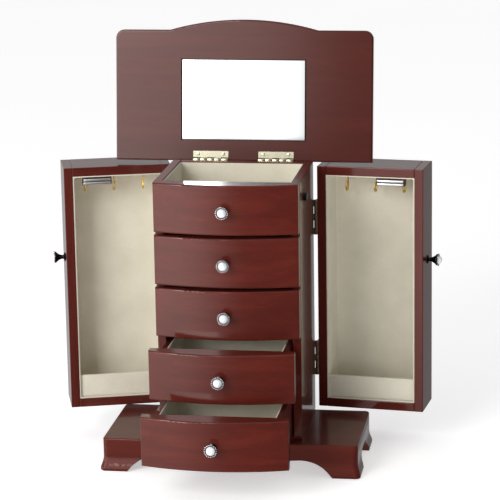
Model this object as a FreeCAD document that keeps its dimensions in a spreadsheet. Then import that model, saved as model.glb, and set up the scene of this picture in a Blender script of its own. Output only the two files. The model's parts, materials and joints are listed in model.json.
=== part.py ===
"""Bow-front jewellery chest: a drawer cabinet on a bracket-foot base, two box wings and a mirrored lid.

Millimetres and degrees. +Z is up, the fronts face -Y and the origin is on the ground under the middle
of the cabinet. The lid stands open, the wings are swung out and the two lower drawers are pulled.
"""
import FreeCAD, Part
import math
import os
import Sketcher
from FreeCAD import Placement, Rotation, Vector

SIZES = {
    # cabinet carcass
    "cabinet_width": 150,
    "cabinet_depth": 111,
    "side_board": 9,
    "back_panel": 5,
    "rear_rail_thick": 9,
    "rear_rail_tall": 24,
    "shelf_thick": 3.2,
    "edge_round": 0.7,
    # bowed fronts
    "front_height": 51.8,
    "front_gap": 3.2,
    "front_drop": 2,
    "front_edge_thick": 10,
    "front_bow": 12,
    "front_side_trim": 0.25,
    "front_round": 1.6,
    "closing_gap": 0.4,
    # drawer boxes
    "drawer_side_gap": 1,
    "drawer_lift": 0.4,
    "drawer_rear_gap": 2,
    "drawer_wall": 5,
    "drawer_floor": 3,
    "drawer_top_drop": 4,
    "lining_thick": 1.2,
    "lining_drop": 0.4,
    "drawer_4_pull": 44,
    "drawer_5_pull": 93,
    # base
    "base_height": 35,
    "base_side_overhang": 4.6,
    "base_front_overhang": 14.5,
    "base_rear_setback": 2,
    "base_top_thick": 9,
    "base_corner_round": 5,
    "base_top_round": 1.4,
    "apron_thick": 10,
    "foot_flare": 3,
    "foot_flare_height": 15,
    "front_foot_length": 29,
    "side_foot_length": 34,
    "front_arch_run": 34,
    "side_arch_run": 22,
    "arch_rise": 17.5,
    "front_arch_dip": 2.6,
    # lid
    "lid_side_overhang": 8.1,
    "lid_front_overhang": 13.6,
    "lid_rear_overhang": 3.8,
    "lid_thick": 9,
    "lid_gap": 0.4,
    "lid_arch_margin": 4,
    "lid_arch_rise": 11,
    "lid_corner_round": 9,
    "lid_edge_round": 1.6,
    "lid_angle": 97,
    "mirror_side_margin": 9,
    "mirror_height": 85,
    "mirror_inset": 22.5,
    "mirror_thick": 3,
    "mirror_reveal": 1,
    "mirror_sink": 0.5,
    # wings
    "wing_front_cover": 3.5,
    "wing_thick": 50,
    "wing_board": 9.5,
    "wing_back": 5,
    "wing_base_gap": 2.4,
    "wing_top_drop": 5.5,
    "wing_lining_setback": 1,
    "left_wing_angle": 73,
    "right_wing_angle": 83.4,
    "pocket_setback": 4,
    "pocket_thick": 3,
    "pocket_tall": 24,
    # necklace hooks
    "hook_pitch": 31,
    "hook_shift": 2,
    "hook_depth": 25,
    "hook_wire": 1.9,
    "hook_shank": 14,
    "hook_sweep": 235,
    "hook_collar_thick": 1,
    "hook_ring": 4.6,
    "hook_collar": 2.4,
    "hook_tip": 1.5,
    # magnetic catches
    "catch_inset": 35.5,
    "catch_length": 31,
    "catch_tall": 8.2,
    "catch_deep": 10,
    "catch_plate_tall": 2.7,
    "catch_plate_thick": 1.4,
    "catch_plate_gap": 0.8,
    "catch_sink": 0.2,
    "strike_radius": 4.2,
    "catch_air": 1,
    # knobs
    "knob_base_radius": 4,
    "knob_neck_radius": 2.1,
    "knob_bezel_radius": 6.2,
    "knob_rim_radius": 0.9,
    "knob_length": 12,
    "knob_base_thick": 1.2,
    "knob_flare": 4,
    "knob_bezel_deep": 2.2,
    "knob_stone_radius": 4.9,
    "knob_stone_rise": 3.6,
    "knob_stone_seat": 1,
    "knob_foot_chamfer": 1,
    "wing_knob_height": 163,
    # butt hinges
    "hinge_length": 38,
    "hinge_leaf_width": 6.8,
    "hinge_leaf_thick": 0.9,
    "hinge_leaf_gap": 0.2,
    "hinge_barrel_radius": 1.9,
    "hinge_barrel_gap": 0.3,
    "hinge_knuckle_gap": 0.2,
    "hinge_pin_radius": 0.8,
    "hinge_pin_clearance": 0.05,
    "hinge_mortise_gap": 0.1,
    "hinge_screw_radius": 2,
    "hinge_screw_core": 1,
    "hinge_screw_length": 6,
    "hinge_screw_spacing": 27,
    "hinge_screw_inset": 3.6,
    "lid_hinge_spacing": 70,
    "wing_hinge_inset": 55,
}

doc = FreeCAD.newDocument("jewellery_chest")
sheet = doc.addObject("Spreadsheet::Sheet", "Sizes")
for row, (alias, amount) in enumerate(SIZES.items(), start=1):
    sheet.set(f"A{row}", alias)
    sheet.set(f"B{row}", str(amount))
    sheet.setAlias(f"B{row}", alias)
doc.recompute()


class Size:
    """A number that remembers how it comes from the sheet, so that a property can be bound to it."""

    def __init__(self, value, text):
        self.value = value
        self.text = text

    def combined(self, sign, other, value):
        return Size(value, f"({self.text} {sign} {other.text})")

    def __add__(self, other):
        other = as_size(other)
        return self.combined("+", other, self.value + other.value)

    __radd__ = __add__

    def __sub__(self, other):
        other = as_size(other)
        return self.combined("-", other, self.value - other.value)

    def __rsub__(self, other):
        return as_size(other) - self

    def __mul__(self, other):
        other = as_size(other)
        return self.combined("*", other, self.value * other.value)

    __rmul__ = __mul__

    def __truediv__(self, other):
        other = as_size(other)
        return self.combined("/", other, self.value / other.value)

    def __neg__(self):
        return self * -1


def as_size(amount):
    return amount if isinstance(amount, Size) else Size(float(amount), f"({float(amount):.6f})")


class Sheet:
    """The sheet's cells as attributes."""

    def __getattr__(self, alias):
        return Size(float(sheet.get(alias)), f"Sizes.{alias}")


d = Sheet()


def bind(thing, path, amount):
    thing.setExpression(path, as_size(amount).text)


# ---------------------------------------------------------------- places worked out from the sizes
half_width = d.cabinet_width / 2
inner_half = half_width - d.side_board
front_y = -(d.cabinet_depth / 2)
back_y = d.cabinet_depth / 2
panel_y = back_y - d.back_panel
face_y = front_y - d.closing_gap - d.front_edge_thick
LEVELS = 5
DRAWERS = (2, 3, 4, 5)
cabinet_top = (
    d.base_height + d.shelf_thick - d.front_drop + d.front_height * LEVELS + d.front_gap * (LEVELS - 1)
)
hinge_setback = d.hinge_barrel_radius + d.hinge_barrel_gap
leaf_seat = d.hinge_leaf_gap / 2 + d.hinge_leaf_thick
lid_hinge_y = back_y + hinge_setback
lid_hinge_z = cabinet_top + d.lid_gap / 2
wing_gap = hinge_setback * 2
wing_hinge_x = half_width + wing_gap / 2
wing_hinge_y = back_y + leaf_seat
wing_bottom = d.base_height + d.wing_base_gap
wing_top = cabinet_top - d.wing_top_drop
wing_near = wing_gap / 2
wing_far = wing_near + d.wing_thick
wing_width = d.cabinet_depth + d.wing_front_cover
wing_rear_y = -leaf_seat
wing_outer_y = wing_rear_y - wing_width
ceiling_z = wing_top - d.wing_board - d.lining_thick
catch_y = wing_outer_y + d.catch_inset
closed_half = half_width + wing_gap + d.wing_thick


def front_bottom(level):
    return cabinet_top - d.front_height * level - d.front_gap * (level - 1)


def shelf_top(level):
    return front_bottom(level) + d.front_drop


# ---------------------------------------------------------------- where each moving body stands
X_AXIS, Y_AXIS, Z_AXIS = Vector(1, 0, 0), Vector(0, 1, 0), Vector(0, 0, 1)
PLACES = {
    "cabinet": None,
    "lid": (X_AXIS, {"y": lid_hinge_y, "z": lid_hinge_z}, -d.lid_angle),
    "left_wing": (Z_AXIS, {"x": -wing_hinge_x, "y": wing_hinge_y}, -d.left_wing_angle),
    "right_wing": (Z_AXIS, {"x": wing_hinge_x, "y": wing_hinge_y}, d.right_wing_angle),
    "drawer_2": None,
    "drawer_3": None,
    "drawer_4": (Z_AXIS, {"y": -d.drawer_4_pull}, None),
    "drawer_5": (Z_AXIS, {"y": -d.drawer_5_pull}, None),
}


def stand(thing, place):
    """Put a finished object where its body stands."""
    if PLACES[place] is None:
        return
    axis, offsets, angle = PLACES[place]
    if angle is not None:
        thing.Placement = Placement(Vector(), Rotation(axis, 1))
        bind(thing, "Placement.Rotation.Angle", angle)
    for name, offset in offsets.items():
        bind(thing, f"Placement.Base.{name}", offset)


def put(thing, x=0, y=0, z=0, turn=None):
    """Put a component inside its group, first turned and then moved."""
    thing.Placement = Placement(Vector(), turn or Rotation())
    for name, offset in (("x", x), ("y", y), ("z", z)):
        bind(thing, f"Placement.Base.{name}", offset)
    return thing


FACE_FRONT = Rotation(X_AXIS, 90)

nodes = []


def node(thing, label, place):
    """Name a finished sub-part and stand it with its body."""
    thing.Label = label
    stand(thing, place)
    nodes.append(thing)
    return thing


# ---------------------------------------------------------------- modelling helpers
def new_body(name):
    return doc.addObject("PartDesign::Body", name)


def sketch_on(made, plane, lift=None, across=None, up=None):
    """A sketch on one of the body's own planes, moved along the plane's normal, right and up."""
    sketch = made.newObject("Sketcher::SketchObject", "Sketch")
    for feature in made.Origin.OriginFeatures:
        if feature.Role == plane:
            sketch.AttachmentSupport = [(feature, "")]
    sketch.MapMode = "FlatFace"
    for name, amount in (("z", lift), ("x", across), ("y", up)):
        if amount is not None:
            bind(sketch, f"AttachmentOffset.Base.{name}", amount)
    return sketch


def arc_between(start, end, radius, bulge):
    """The short arc from start to end; bulge is 1 to its right as it is walked and -1 to its left."""
    chord = end - start
    reach = math.sqrt(radius**2 - (chord.Length / 2) ** 2)
    side = Vector(-chord.y, chord.x, 0).normalize() * bulge
    centre = (start + end) / 2 + side * reach
    first, last = (start, end) if bulge > 0 else (end, start)
    angles = [math.atan2(point.y - centre.y, point.x - centre.x) for point in (first, last)]
    return Part.ArcOfCircle(Part.Circle(centre, Z_AXIS, radius), *angles)


def outline(sketch, corners, arcs=None):
    """A closed outline with every corner bound to the sheet; arcs gives a side's (radius, bulge)."""
    arcs = arcs or {}
    corners = [(as_size(x), as_size(y)) for x, y in corners]
    points = [Vector(x.value, y.value, 0) for x, y in corners]
    first_edge = sketch.GeometryCount
    ends = []
    for side, start in enumerate(points):
        end = points[(side + 1) % len(points)]
        if side in arcs:
            radius, bulge = arcs[side]
            edge = sketch.addGeometry(arc_between(start, end, radius.value, bulge))
            ends.append((1, 2) if bulge > 0 else (2, 1))
            hold(sketch, "Radius", (edge,), radius)
        else:
            edge = sketch.addGeometry(Part.LineSegment(start, end))
            ends.append((1, 2))
    for side, (x, y) in enumerate(corners):
        edge = first_edge + side
        before = first_edge + (side - 1) % len(corners)
        joint = Sketcher.Constraint("Coincident", before, ends[side - 1][1], edge, ends[side][0])
        sketch.addConstraint(joint)
        hold(sketch, "DistanceX", (-1, 1, edge, ends[side][0]), x)
        hold(sketch, "DistanceY", (-1, 1, edge, ends[side][0]), y)
    return sketch


def hold(sketch, kind, where, amount):
    """A dimension in a sketch, bound to the sheet."""
    amount = as_size(amount)
    number = sketch.addConstraint(Sketcher.Constraint(kind, *where, amount.value))
    sketch.setExpression(f"Constraints[{number}]", amount.text)


def circle(sketch, x, y, radius):
    x, y, radius = as_size(x), as_size(y), as_size(radius)
    ring = Part.Circle(Vector(x.value, y.value, 0), Z_AXIS, radius.value)
    edge = sketch.addGeometry(ring)
    hold(sketch, "Radius", (edge,), radius)
    hold(sketch, "DistanceX", (-1, 1, edge, 3), x)
    hold(sketch, "DistanceY", (-1, 1, edge, 3), y)


def rectangle(sketch, x, y):
    (x0, x1), (y0, y1) = x, y
    return outline(sketch, [(x0, y0), (x1, y0), (x1, y1), (x0, y1)])


def pad(made, sketch, length, backwards=False):
    feature = made.newObject("PartDesign::Pad", "Pad")
    feature.Profile = sketch
    bind(feature, "Length", length)
    feature.Reversed = backwards
    sketch.Visibility = False
    return feature


def pocket(made, sketch, depth=None, backwards=False):
    """A cut against the sketch's normal, or along it when backwards; through all with no depth."""
    before = made.Tip
    feature = made.newObject("PartDesign::Pocket", "Pocket")
    feature.Profile = sketch
    if depth is None:
        feature.Type = "ThroughAll"
        feature.Midplane = True
    else:
        bind(feature, "Length", depth)
        feature.Reversed = backwards
    doc.recompute()
    if feature.Shape.Volume > before.Shape.Volume - 0.01:
        raise RuntimeError(f"a pocket in {made.Name} cuts nothing")
    return feature


def soften(made, radius, pick=None):
    """Round the edges of the body that pick accepts, or all of them."""
    doc.recompute()
    tip = made.Tip
    chosen = [f"Edge{n}" for n, edge in enumerate(tip.Shape.Edges, 1) if pick is None or pick(edge)]
    feature = made.newObject("PartDesign::Fillet", "Fillet")
    feature.Base = (tip, chosen)
    bind(feature, "Radius", radius)
    return feature


def upright(edge):
    box = edge.BoundBox
    return box.ZLength > 1 and box.XLength < 0.01 and box.YLength < 0.01


def slab(name, x, y, z, soft=None):
    """A straight board between three pairs of limits."""
    made = new_body(name)
    pad(made, rectangle(sketch_on(made, "XY_Plane", z[0]), x, y), z[1] - z[0])
    if soft is not None:
        soften(made, soft)
    return made


def board(label, place, x, y, z, soft=None):
    return node(slab(label, x, y, z, d.edge_round if soft is None else soft), label, place)


def tub(label, place, x, y, z, wall, floor):
    """An open box with its own floor."""
    made = slab(label, x, y, z)
    inside = rectangle(
        sketch_on(made, "XY_Plane", z[1]), (x[0] + wall, x[1] - wall), (y[0] + wall, y[1] - wall)
    )
    pocket(made, inside, z[1] - z[0] - floor)
    return node(made, label, place)


def group(label, place, parts):
    """Several pieces that share one node."""
    made = doc.addObject("Part::Compound", label)
    made.Links = parts
    return node(made, label, place)


def link(master, **where):
    """Another copy of a master component."""
    made = doc.addObject("App::Link", f"{master.Name}_copy")
    made.LinkedObject = master
    return put(made, **where)


# ---------------------------------------------------------------- base
base_half = closed_half + d.base_side_overhang
base_front_y = front_y - d.base_front_overhang
base_rear_y = back_y - d.base_rear_setback
apron_top = d.base_height - d.base_top_thick


def rounded_plan(made, level, grow):
    """The base's plan with rounded corners, larger all round by grow, at one level."""
    left, right = -base_half - grow, base_half + grow
    near, far = base_front_y - grow, base_rear_y + grow
    r = d.base_corner_round
    corners = [
        (left + r, near), (right - r, near), (right, near + r), (right, far - r),
        (right - r, far), (left + r, far), (left, far - r), (left, near + r),
    ]
    return outline(sketch_on(made, "XY_Plane", level), corners, {side: (r, 1) for side in (1, 3, 5, 7)})


def base_top():
    made = new_body("base_top_board")
    pad(made, rounded_plan(made, apron_top, 0), d.base_top_thick)
    top = d.base_height.value
    soften(made, d.base_top_round, lambda edge: edge.BoundBox.ZMin > top - 0.01)
    node(made, "base_top_board", "cabinet")


def arch(sketch, ends, foot, run, dip):
    """The opening between two feet: a rising arc at each end and a slightly dipped middle."""
    start, end = ends[0] + foot, ends[1] - foot
    rise = d.arch_rise
    arc_radius = (run * run + rise * rise) / (rise * 2)
    middle = (end - start) / 2 - run
    corners = [(start, -1), (end, -1), (end, 0), (end - run, rise), (start + run, rise), (start, 0)]
    arcs = {2: (arc_radius, 1), 4: (arc_radius, 1)}
    if dip is not None:
        arcs[3] = ((middle * middle + dip * dip) / (dip * 2), -1)
    return outline(sketch, corners, arcs)


FLARE = ((0, 0.75), (0.1, 1), (0.3, 0.88), (0.6, 0.36), (0.85, 0.07), (1, 0))


def apron_ring():
    """The whole apron with its four bracket feet, before the boards are mitred apart."""
    made = new_body("base_apron_ring")
    plans = [
        rounded_plan(made, d.foot_flare_height * level, d.foot_flare * grow) for level, grow in FLARE
    ]
    loft = made.newObject("PartDesign::AdditiveLoft", "Flare")
    loft.Profile = plans[0]
    loft.Sections = plans[1:]
    above = rounded_plan(made, d.foot_flare_height, 0)
    pad(made, above, apron_top - d.foot_flare_height)
    inside = sketch_on(made, "XY_Plane", apron_top)
    rectangle(
        inside,
        (-base_half + d.apron_thick, base_half - d.apron_thick),
        (base_front_y + d.apron_thick, base_rear_y - d.apron_thick),
    )
    doc.recompute()
    pocket(made, inside)
    ends = (-base_half - d.foot_flare, base_half + d.foot_flare)
    front_arch = arch(
        sketch_on(made, "XZ_Plane"), ends, d.front_foot_length, d.front_arch_run, d.front_arch_dip
    )
    pocket(made, front_arch)
    ends = (base_front_y - d.foot_flare, base_rear_y + d.foot_flare)
    side_arch = arch(sketch_on(made, "YZ_Plane"), ends, d.side_foot_length, d.side_arch_run, None)
    pocket(made, side_arch)
    return made


def aprons():
    """Cut the ring into four boards that meet in mitres."""
    ring = apron_ring()
    out, back = d.foot_flare * 2, d.apron_thick * 1.5
    left, right = -base_half, base_half
    near, far = base_front_y, base_rear_y
    wedges = {
        "front": [(left - out, near - out), (right + out, near - out),
                  (right - back, near + back), (left + back, near + back)],
        "right": [(right + out, near - out), (right + out, far + out),
                  (right - back, far - back), (right - back, near + back)],
        "back": [(right + out, far + out), (left - out, far + out),
                 (left + back, far - back), (right - back, far - back)],
        "left": [(left - out, far + out), (left - out, near - out),
                 (left + back, near + back), (left + back, far - back)],
    }
    for side, corners in wedges.items():
        wedge = new_body(f"{side}_mitre")
        pad(wedge, outline(sketch_on(wedge, "XY_Plane"), corners), d.base_height)
        made = doc.addObject("Part::Common", f"base_{side}_apron")
        made.Base = ring
        made.Tool = wedge
        node(made, f"base_{side}_apron", "cabinet")


# ---------------------------------------------------------------- cabinet carcass
def carcass():
    for side, sign in (("left", -1), ("right", 1)):
        board(
            f"cabinet_side_{side}", "cabinet",
            (inner_half * sign, half_width * sign), (front_y, back_y), (d.base_height, cabinet_top),
        )
    across = (-inner_half, inner_half)
    rail_bottom = cabinet_top - d.rear_rail_tall
    board("cabinet_back", "cabinet", across, (panel_y, back_y), (d.base_height, rail_bottom))
    rail = slab(
        "cabinet_rear_rail", across, (back_y - d.rear_rail_thick, back_y), (rail_bottom, cabinet_top),
        d.edge_round,
    )
    lid_mortises(rail, cabinet_top, back_y, down=True)
    node(rail, "cabinet_rear_rail", "cabinet")
    shelves = [
        slab(f"shelf_{level}", across, (front_y, panel_y), (top - d.shelf_thick, top))
        for level, top in ((number, shelf_top(number)) for number in range(1, LEVELS + 1))
    ]
    group("shelves", "cabinet", shelves)
    tub(
        "top_tray_lining", "cabinet", across, (front_y, back_y - d.rear_rail_thick),
        (shelf_top(1), cabinet_top - d.lining_thick), d.lining_thick, d.lining_thick,
    )


def bow_front(name, level, back):
    """One front: flat at the back, bowed forward at the middle."""
    made = new_body(name)
    side = half_width - d.front_side_trim
    radius = (side * side + d.front_bow * d.front_bow) / (d.front_bow * 2)
    corners = [(side, back), (-side, back), (-side, face_y), (side, face_y)]
    plan = outline(sketch_on(made, "XY_Plane", front_bottom(level)), corners, {2: (radius, 1)})
    pad(made, plan, d.front_height)
    limit = face_y.value + 0.01
    soften(made, d.front_round, lambda edge: edge.BoundBox.YMax < limit)
    return made


def drawer(level):
    name = f"drawer_{level}"
    back = front_y - d.closing_gap
    node(bow_front(f"{name}_front", level, back), f"{name}_front", name)
    box_half = inner_half - d.drawer_side_gap
    rear = panel_y - d.drawer_rear_gap
    bottom = shelf_top(level) + d.drawer_lift
    top = front_bottom(level) + d.front_height - d.drawer_top_drop
    tub(
        f"{name}_box", name, (-box_half, box_half), (back, rear), (bottom, top),
        d.drawer_wall, d.drawer_floor,
    )
    inner = box_half - d.drawer_wall
    tub(
        f"{name}_lining", name, (-inner, inner), (back + d.drawer_wall, rear - d.drawer_wall),
        (bottom + d.drawer_floor, top - d.lining_drop), d.lining_thick, d.lining_thick,
    )
    front_knob(f"{name}_knob", name, level)


# ---------------------------------------------------------------- knobs
def knob_metal():
    """A turned setting: a base flange, a flared stem and a cup with a rounded rim, standing on +Z."""
    made = new_body("knob_setting")
    sketch = sketch_on(made, "XZ_Plane")
    base, neck, cup = d.knob_base_radius, d.knob_neck_radius, d.knob_bezel_radius
    cup_bottom = d.knob_length - d.knob_bezel_deep
    seat = d.knob_length - d.knob_stone_seat
    corners = [
        (0, 0), (base, 0), (base, d.knob_base_thick), (neck, d.knob_base_thick + d.knob_foot_chamfer),
        (neck, cup_bottom - d.knob_flare), (cup, cup_bottom), (cup, d.knob_length),
        (d.knob_stone_radius, d.knob_length), (d.knob_stone_radius, seat), (0, seat),
    ]
    spread = cup - neck
    sweep = (spread * spread + d.knob_flare * d.knob_flare) / (spread * 2)
    outline(sketch, corners, {4: (sweep * 1.25, -1)})
    turned(made, sketch)
    return made


def knob_rim():
    rim = doc.addObject("Part::Torus", "knob_rim")
    bind(rim, "Radius1", d.knob_bezel_radius)
    bind(rim, "Radius2", d.knob_rim_radius)
    return put(rim, z=d.knob_length)


STONE_FACETS = ((1, 0), (0.82, 0.45), (0.5, 0.85), (0.2, 1))


def knob_stone():
    """A round stone with a girdle and rings of sloping facets, in the cup of the setting."""
    made = new_body("knob_stone")
    sketch = sketch_on(made, "XZ_Plane", up=d.knob_length - d.knob_stone_seat)
    radius, seat, rise = d.knob_stone_radius, d.knob_stone_seat, d.knob_stone_rise
    rings = [(radius * across, seat + rise * up) for across, up in STONE_FACETS]
    outline(sketch, [(0, 0), (radius, 0), *rings, (0, seat + rise)])
    turned(made, sketch)
    return made


def turned(made, sketch):
    feature = made.newObject("PartDesign::Revolution", "Turned")
    feature.Profile = sketch
    feature.ReferenceAxis = (sketch, ["V_Axis"])
    feature.Angle = 360
    return feature


def knob(label, place, x, y, z):
    parts = [link(part, x=x, y=y, z=z, turn=FACE_FRONT) for part in (knob_setting, knob_stone_master)]
    group(label, place, parts)


def front_knob(label, place, level):
    knob(label, place, 0, face_y - d.front_bow, front_bottom(level) + d.front_height / 2)


# ---------------------------------------------------------------- butt hinges
KNUCKLES = 5


def knuckle_span(number):
    pitch = d.hinge_length / KNUCKLES
    low = -(d.hinge_length / 2) + pitch * number + d.hinge_knuckle_gap / 2
    return low, pitch - d.hinge_knuckle_gap


def primitive(kind, name, sizes, **where):
    made = doc.addObject(kind, name)
    for prop, amount in sizes.items():
        bind(made, prop, amount)
    return put(made, **where)


def fuse(name, parts):
    made = doc.addObject("Part::MultiFuse", name)
    made.Shapes = parts
    return made


def hinge_screw_places():
    y = -hinge_setback - d.hinge_screw_inset
    return [(y, d.hinge_screw_spacing / 2 * sign) for sign in (-1, 1)]


TO_PLUS_X = Rotation(Y_AXIS, 90)


def hinge_leaf(name, numbers):
    """One leaf with its knuckles, on the +X side of the pin, which is the Z axis; closed."""
    near = d.hinge_leaf_gap / 2
    plate = primitive(
        "Part::Box", f"{name}_plate",
        {"Length": d.hinge_leaf_thick, "Width": d.hinge_leaf_width, "Height": d.hinge_length},
        x=near, y=-hinge_setback - d.hinge_leaf_width, z=-(d.hinge_length / 2),
    )
    parts = [plate]
    for number in numbers:
        low, tall = knuckle_span(number)
        tab = {"Length": d.hinge_leaf_thick, "Width": hinge_setback, "Height": tall}
        parts.append(primitive("Part::Box", f"{name}_tab", tab, x=near, y=-hinge_setback, z=low))
        barrel = {"Radius": d.hinge_barrel_radius, "Height": tall}
        parts.append(primitive("Part::Cylinder", f"{name}_barrel", barrel, z=low))
    bore = {"Radius": d.hinge_pin_radius + d.hinge_pin_clearance, "Height": d.hinge_length + 2}
    cuts = [primitive("Part::Cylinder", f"{name}_bore", bore, z=-(d.hinge_length / 2) - 1)]
    for y, z in hinge_screw_places():
        cuts.append(screw_head(f"{name}_sink", x=near, y=y, z=z, turn=TO_PLUS_X))
    made = doc.addObject("Part::Cut", name)
    made.Base = fuse(f"{name}_body", parts)
    made.Tool = fuse(f"{name}_cuts", cuts)
    return made


def screw_head(name, **where):
    """The cone of a countersunk head, as deep as the leaf is thick."""
    cone = {"Radius1": d.hinge_screw_radius, "Radius2": d.hinge_screw_core, "Height": d.hinge_leaf_thick}
    return primitive("Part::Cone", name, cone, **where)


def hinge_screw():
    """A countersunk screw that points along +Z, its head on the ground plane."""
    core = {"Radius": d.hinge_screw_core, "Height": d.hinge_screw_length}
    shank = primitive("Part::Cylinder", "screw_core", core, z=d.hinge_leaf_thick)
    return fuse("hinge_screw", [screw_head("screw_head"), shank])


def hinge_half(leaf, turn, **where):
    """One leaf and its two screws, turned about the pin's middle and moved there."""
    parts = [link(leaf, turn=turn, **where)]
    for y, z in hinge_screw_places():
        spot = rotated((d.hinge_leaf_gap / 2, y, z), turn)
        moved = {name: where.get(name, 0) + spot[name] for name in "xyz"}
        parts.append(link(screw_master, turn=turn.multiply(TO_PLUS_X), **moved))
    return parts


def rotated(point, turn):
    """A point given as three sizes, after a quarter or half turn."""
    columns = [turn.multVec(axis) for axis in (X_AXIS, Y_AXIS, Z_AXIS)]
    result = {}
    for name in "xyz":
        total = as_size(0)
        for amount, column in zip(point, columns):
            share = round(getattr(column, name))
            if share:
                total = total + amount * share
        result[name] = total
    return result


def opposite(turn):
    return Rotation(Y_AXIS, 180).multiply(turn)


# The lid's hinges lie between it and the rear rail; the wings' lie flat across the back of the cabinet.
ON_THE_BACK = Rotation(Z_AXIS, -90)
MOVING_SIDE = {"lid": Rotation(Y_AXIS, -90), "left_wing": ON_THE_BACK, "right_wing": opposite(ON_THE_BACK)}


def hinge_spots():
    """For each moving body, where the middles of its two pins are in its own frame and in the cabinet's."""
    spots = {}
    for name, sign in (("left_wing", -1), ("right_wing", 1)):
        levels = (wing_bottom + d.wing_hinge_inset, wing_top - d.wing_hinge_inset)
        spots[name] = [({"z": z}, {"x": wing_hinge_x * sign, "y": wing_hinge_y, "z": z}) for z in levels]
    across = (-(d.lid_hinge_spacing / 2), d.lid_hinge_spacing / 2)
    spots["lid"] = [({"x": x}, {"x": x, "y": lid_hinge_y, "z": lid_hinge_z}) for x in across]
    return spots


def hinges():
    fixed_parts, pins = [], []
    pin_master = primitive(
        "Part::Cylinder", "hinge_pin",
        {"Radius": d.hinge_pin_radius, "Height": d.hinge_length},
    )
    for body_name, spots in hinge_spots().items():
        turn = MOVING_SIDE[body_name]
        moving_parts = []
        for local, fixed in spots:
            moving_parts += hinge_half(moving_leaf, turn, **local)
            fixed_parts += hinge_half(fixed_leaf, opposite(turn), **fixed)
            start = rotated((as_size(0), as_size(0), -(d.hinge_length / 2)), turn)
            where = {name: fixed[name] + start[name] for name in "xyz"}
            pins.append(link(pin_master, turn=turn, **where))
        group(f"{body_name}_hinge_leaves", body_name, moving_parts)
    group("cabinet_hinge_leaves", "cabinet", fixed_parts)
    group("hinge_pins", "cabinet", pins)


def lid_mortises(made, level, rear, down):
    """Shallow seats for the two lid hinges' leaves, in the face at this level."""
    gap = d.hinge_mortise_gap
    half = d.hinge_length / 2 + gap
    depth = d.hinge_leaf_gap / 2 + d.hinge_leaf_thick + gap - d.lid_gap / 2
    sketch = sketch_on(made, "XY_Plane", level)
    for sign in (-1, 1):
        middle = d.lid_hinge_spacing / 2 * sign
        rectangle(sketch, (middle - half, middle + half), (rear - d.hinge_leaf_width - gap, rear + 1))
    doc.recompute()
    pocket(made, sketch, depth, backwards=not down)


def barrel_notches(made, under, rear):
    """Deeper seats for the two lid hinges' barrels, out through the lid's rear edge."""
    half = d.hinge_length / 2 + d.hinge_mortise_gap
    sketch = sketch_on(made, "XY_Plane", under)
    for sign in (-1, 1):
        middle = d.lid_hinge_spacing / 2 * sign
        rectangle(sketch, (middle - half, middle + half), (-hinge_setback, rear + 1))
    doc.recompute()
    pocket(made, sketch, hinge_setback - under, backwards=True)


# ---------------------------------------------------------------- lid
def lid():
    """The lid in its own frame: the hinge pins' line is the X axis and the closed lid lies along -Y."""
    made = new_body("lid_board")
    under = d.lid_gap / 2
    rear = d.lid_rear_overhang - hinge_setback
    shoulder = face_y - d.lid_front_overhang - lid_hinge_y
    half, corner = closed_half + d.lid_side_overhang, d.lid_corner_round
    arch_half, rise = half_width + d.lid_arch_margin, d.lid_arch_rise
    corners = [
        (half, rear), (-half, rear), (-half, shoulder + corner), (-half + corner, shoulder),
        (-arch_half, shoulder), (arch_half, shoulder), (half - corner, shoulder), (half, shoulder + corner),
    ]
    arcs = {2: (corner, 1), 4: ((arch_half * arch_half + rise * rise) / (rise * 2), 1), 6: (corner, 1)}
    pad(made, outline(sketch_on(made, "XY_Plane", under), corners, arcs), d.lid_thick)
    soften(made, d.lid_edge_round, lambda edge: not upright(edge))
    reveal = d.mirror_reveal
    mirror_rear = rear - d.mirror_inset
    mirror_half = half_width - d.mirror_side_margin
    recess = sketch_on(made, "XY_Plane", under)
    rectangle(
        recess, (-mirror_half - reveal, mirror_half + reveal),
        (mirror_rear - d.mirror_height - reveal, mirror_rear + reveal),
    )
    doc.recompute()
    pocket(made, recess, d.mirror_thick + d.mirror_sink, backwards=True)
    lid_mortises(made, under, -hinge_setback, down=False)
    barrel_notches(made, under, rear)
    node(made, "lid_board", "lid")
    board(
        "lid_mirror", "lid", (-mirror_half, mirror_half), (mirror_rear - d.mirror_height, mirror_rear),
        (under + d.mirror_sink, under + d.mirror_sink + d.mirror_thick),
    )


# ---------------------------------------------------------------- wings
def wing(side, sign):
    """A box wing in its own frame: the hinge line is the Z axis and the closed wing lies along -Y."""
    name = f"{side}_wing"
    inner_hinge = wing_rear_y - d.wing_board
    inner_outer = wing_outer_y + d.wing_board
    inner_top = wing_top - d.wing_board
    inner_bottom = wing_bottom + d.wing_board
    deep = (wing_near * sign, wing_far * sign)
    tall = (wing_bottom, wing_top)
    between = (inner_outer, inner_hinge)
    panel = wing_far - d.wing_back
    board(f"{name}_outer_board", name, deep, (wing_outer_y, inner_outer), tall)
    board(f"{name}_hinge_board", name, deep, (inner_hinge, wing_rear_y), tall)
    board(f"{name}_top_board", name, deep, between, (inner_top, wing_top))
    board(f"{name}_bottom_board", name, deep, between, (wing_bottom, inner_bottom))
    board(f"{name}_back_panel", name, (panel * sign, wing_far * sign), between, (inner_bottom, inner_top))
    wing_lining(name, sign, between, (inner_bottom, inner_top), panel)
    skin = d.lining_thick
    pocket_near = wing_near + d.pocket_setback
    board(
        f"{name}_pocket", name, (pocket_near * sign, (pocket_near + d.pocket_thick) * sign),
        (inner_outer + skin, inner_hinge - skin),
        (inner_bottom + skin, inner_bottom + skin + d.pocket_tall),
    )
    wing_hooks(name, sign)
    wing_catch(name, sign)
    knob(
        f"{name}_knob", name, (wing_near + d.wing_thick / 2) * sign, wing_outer_y,
        wing_bottom + d.wing_knob_height,
    )


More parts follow.
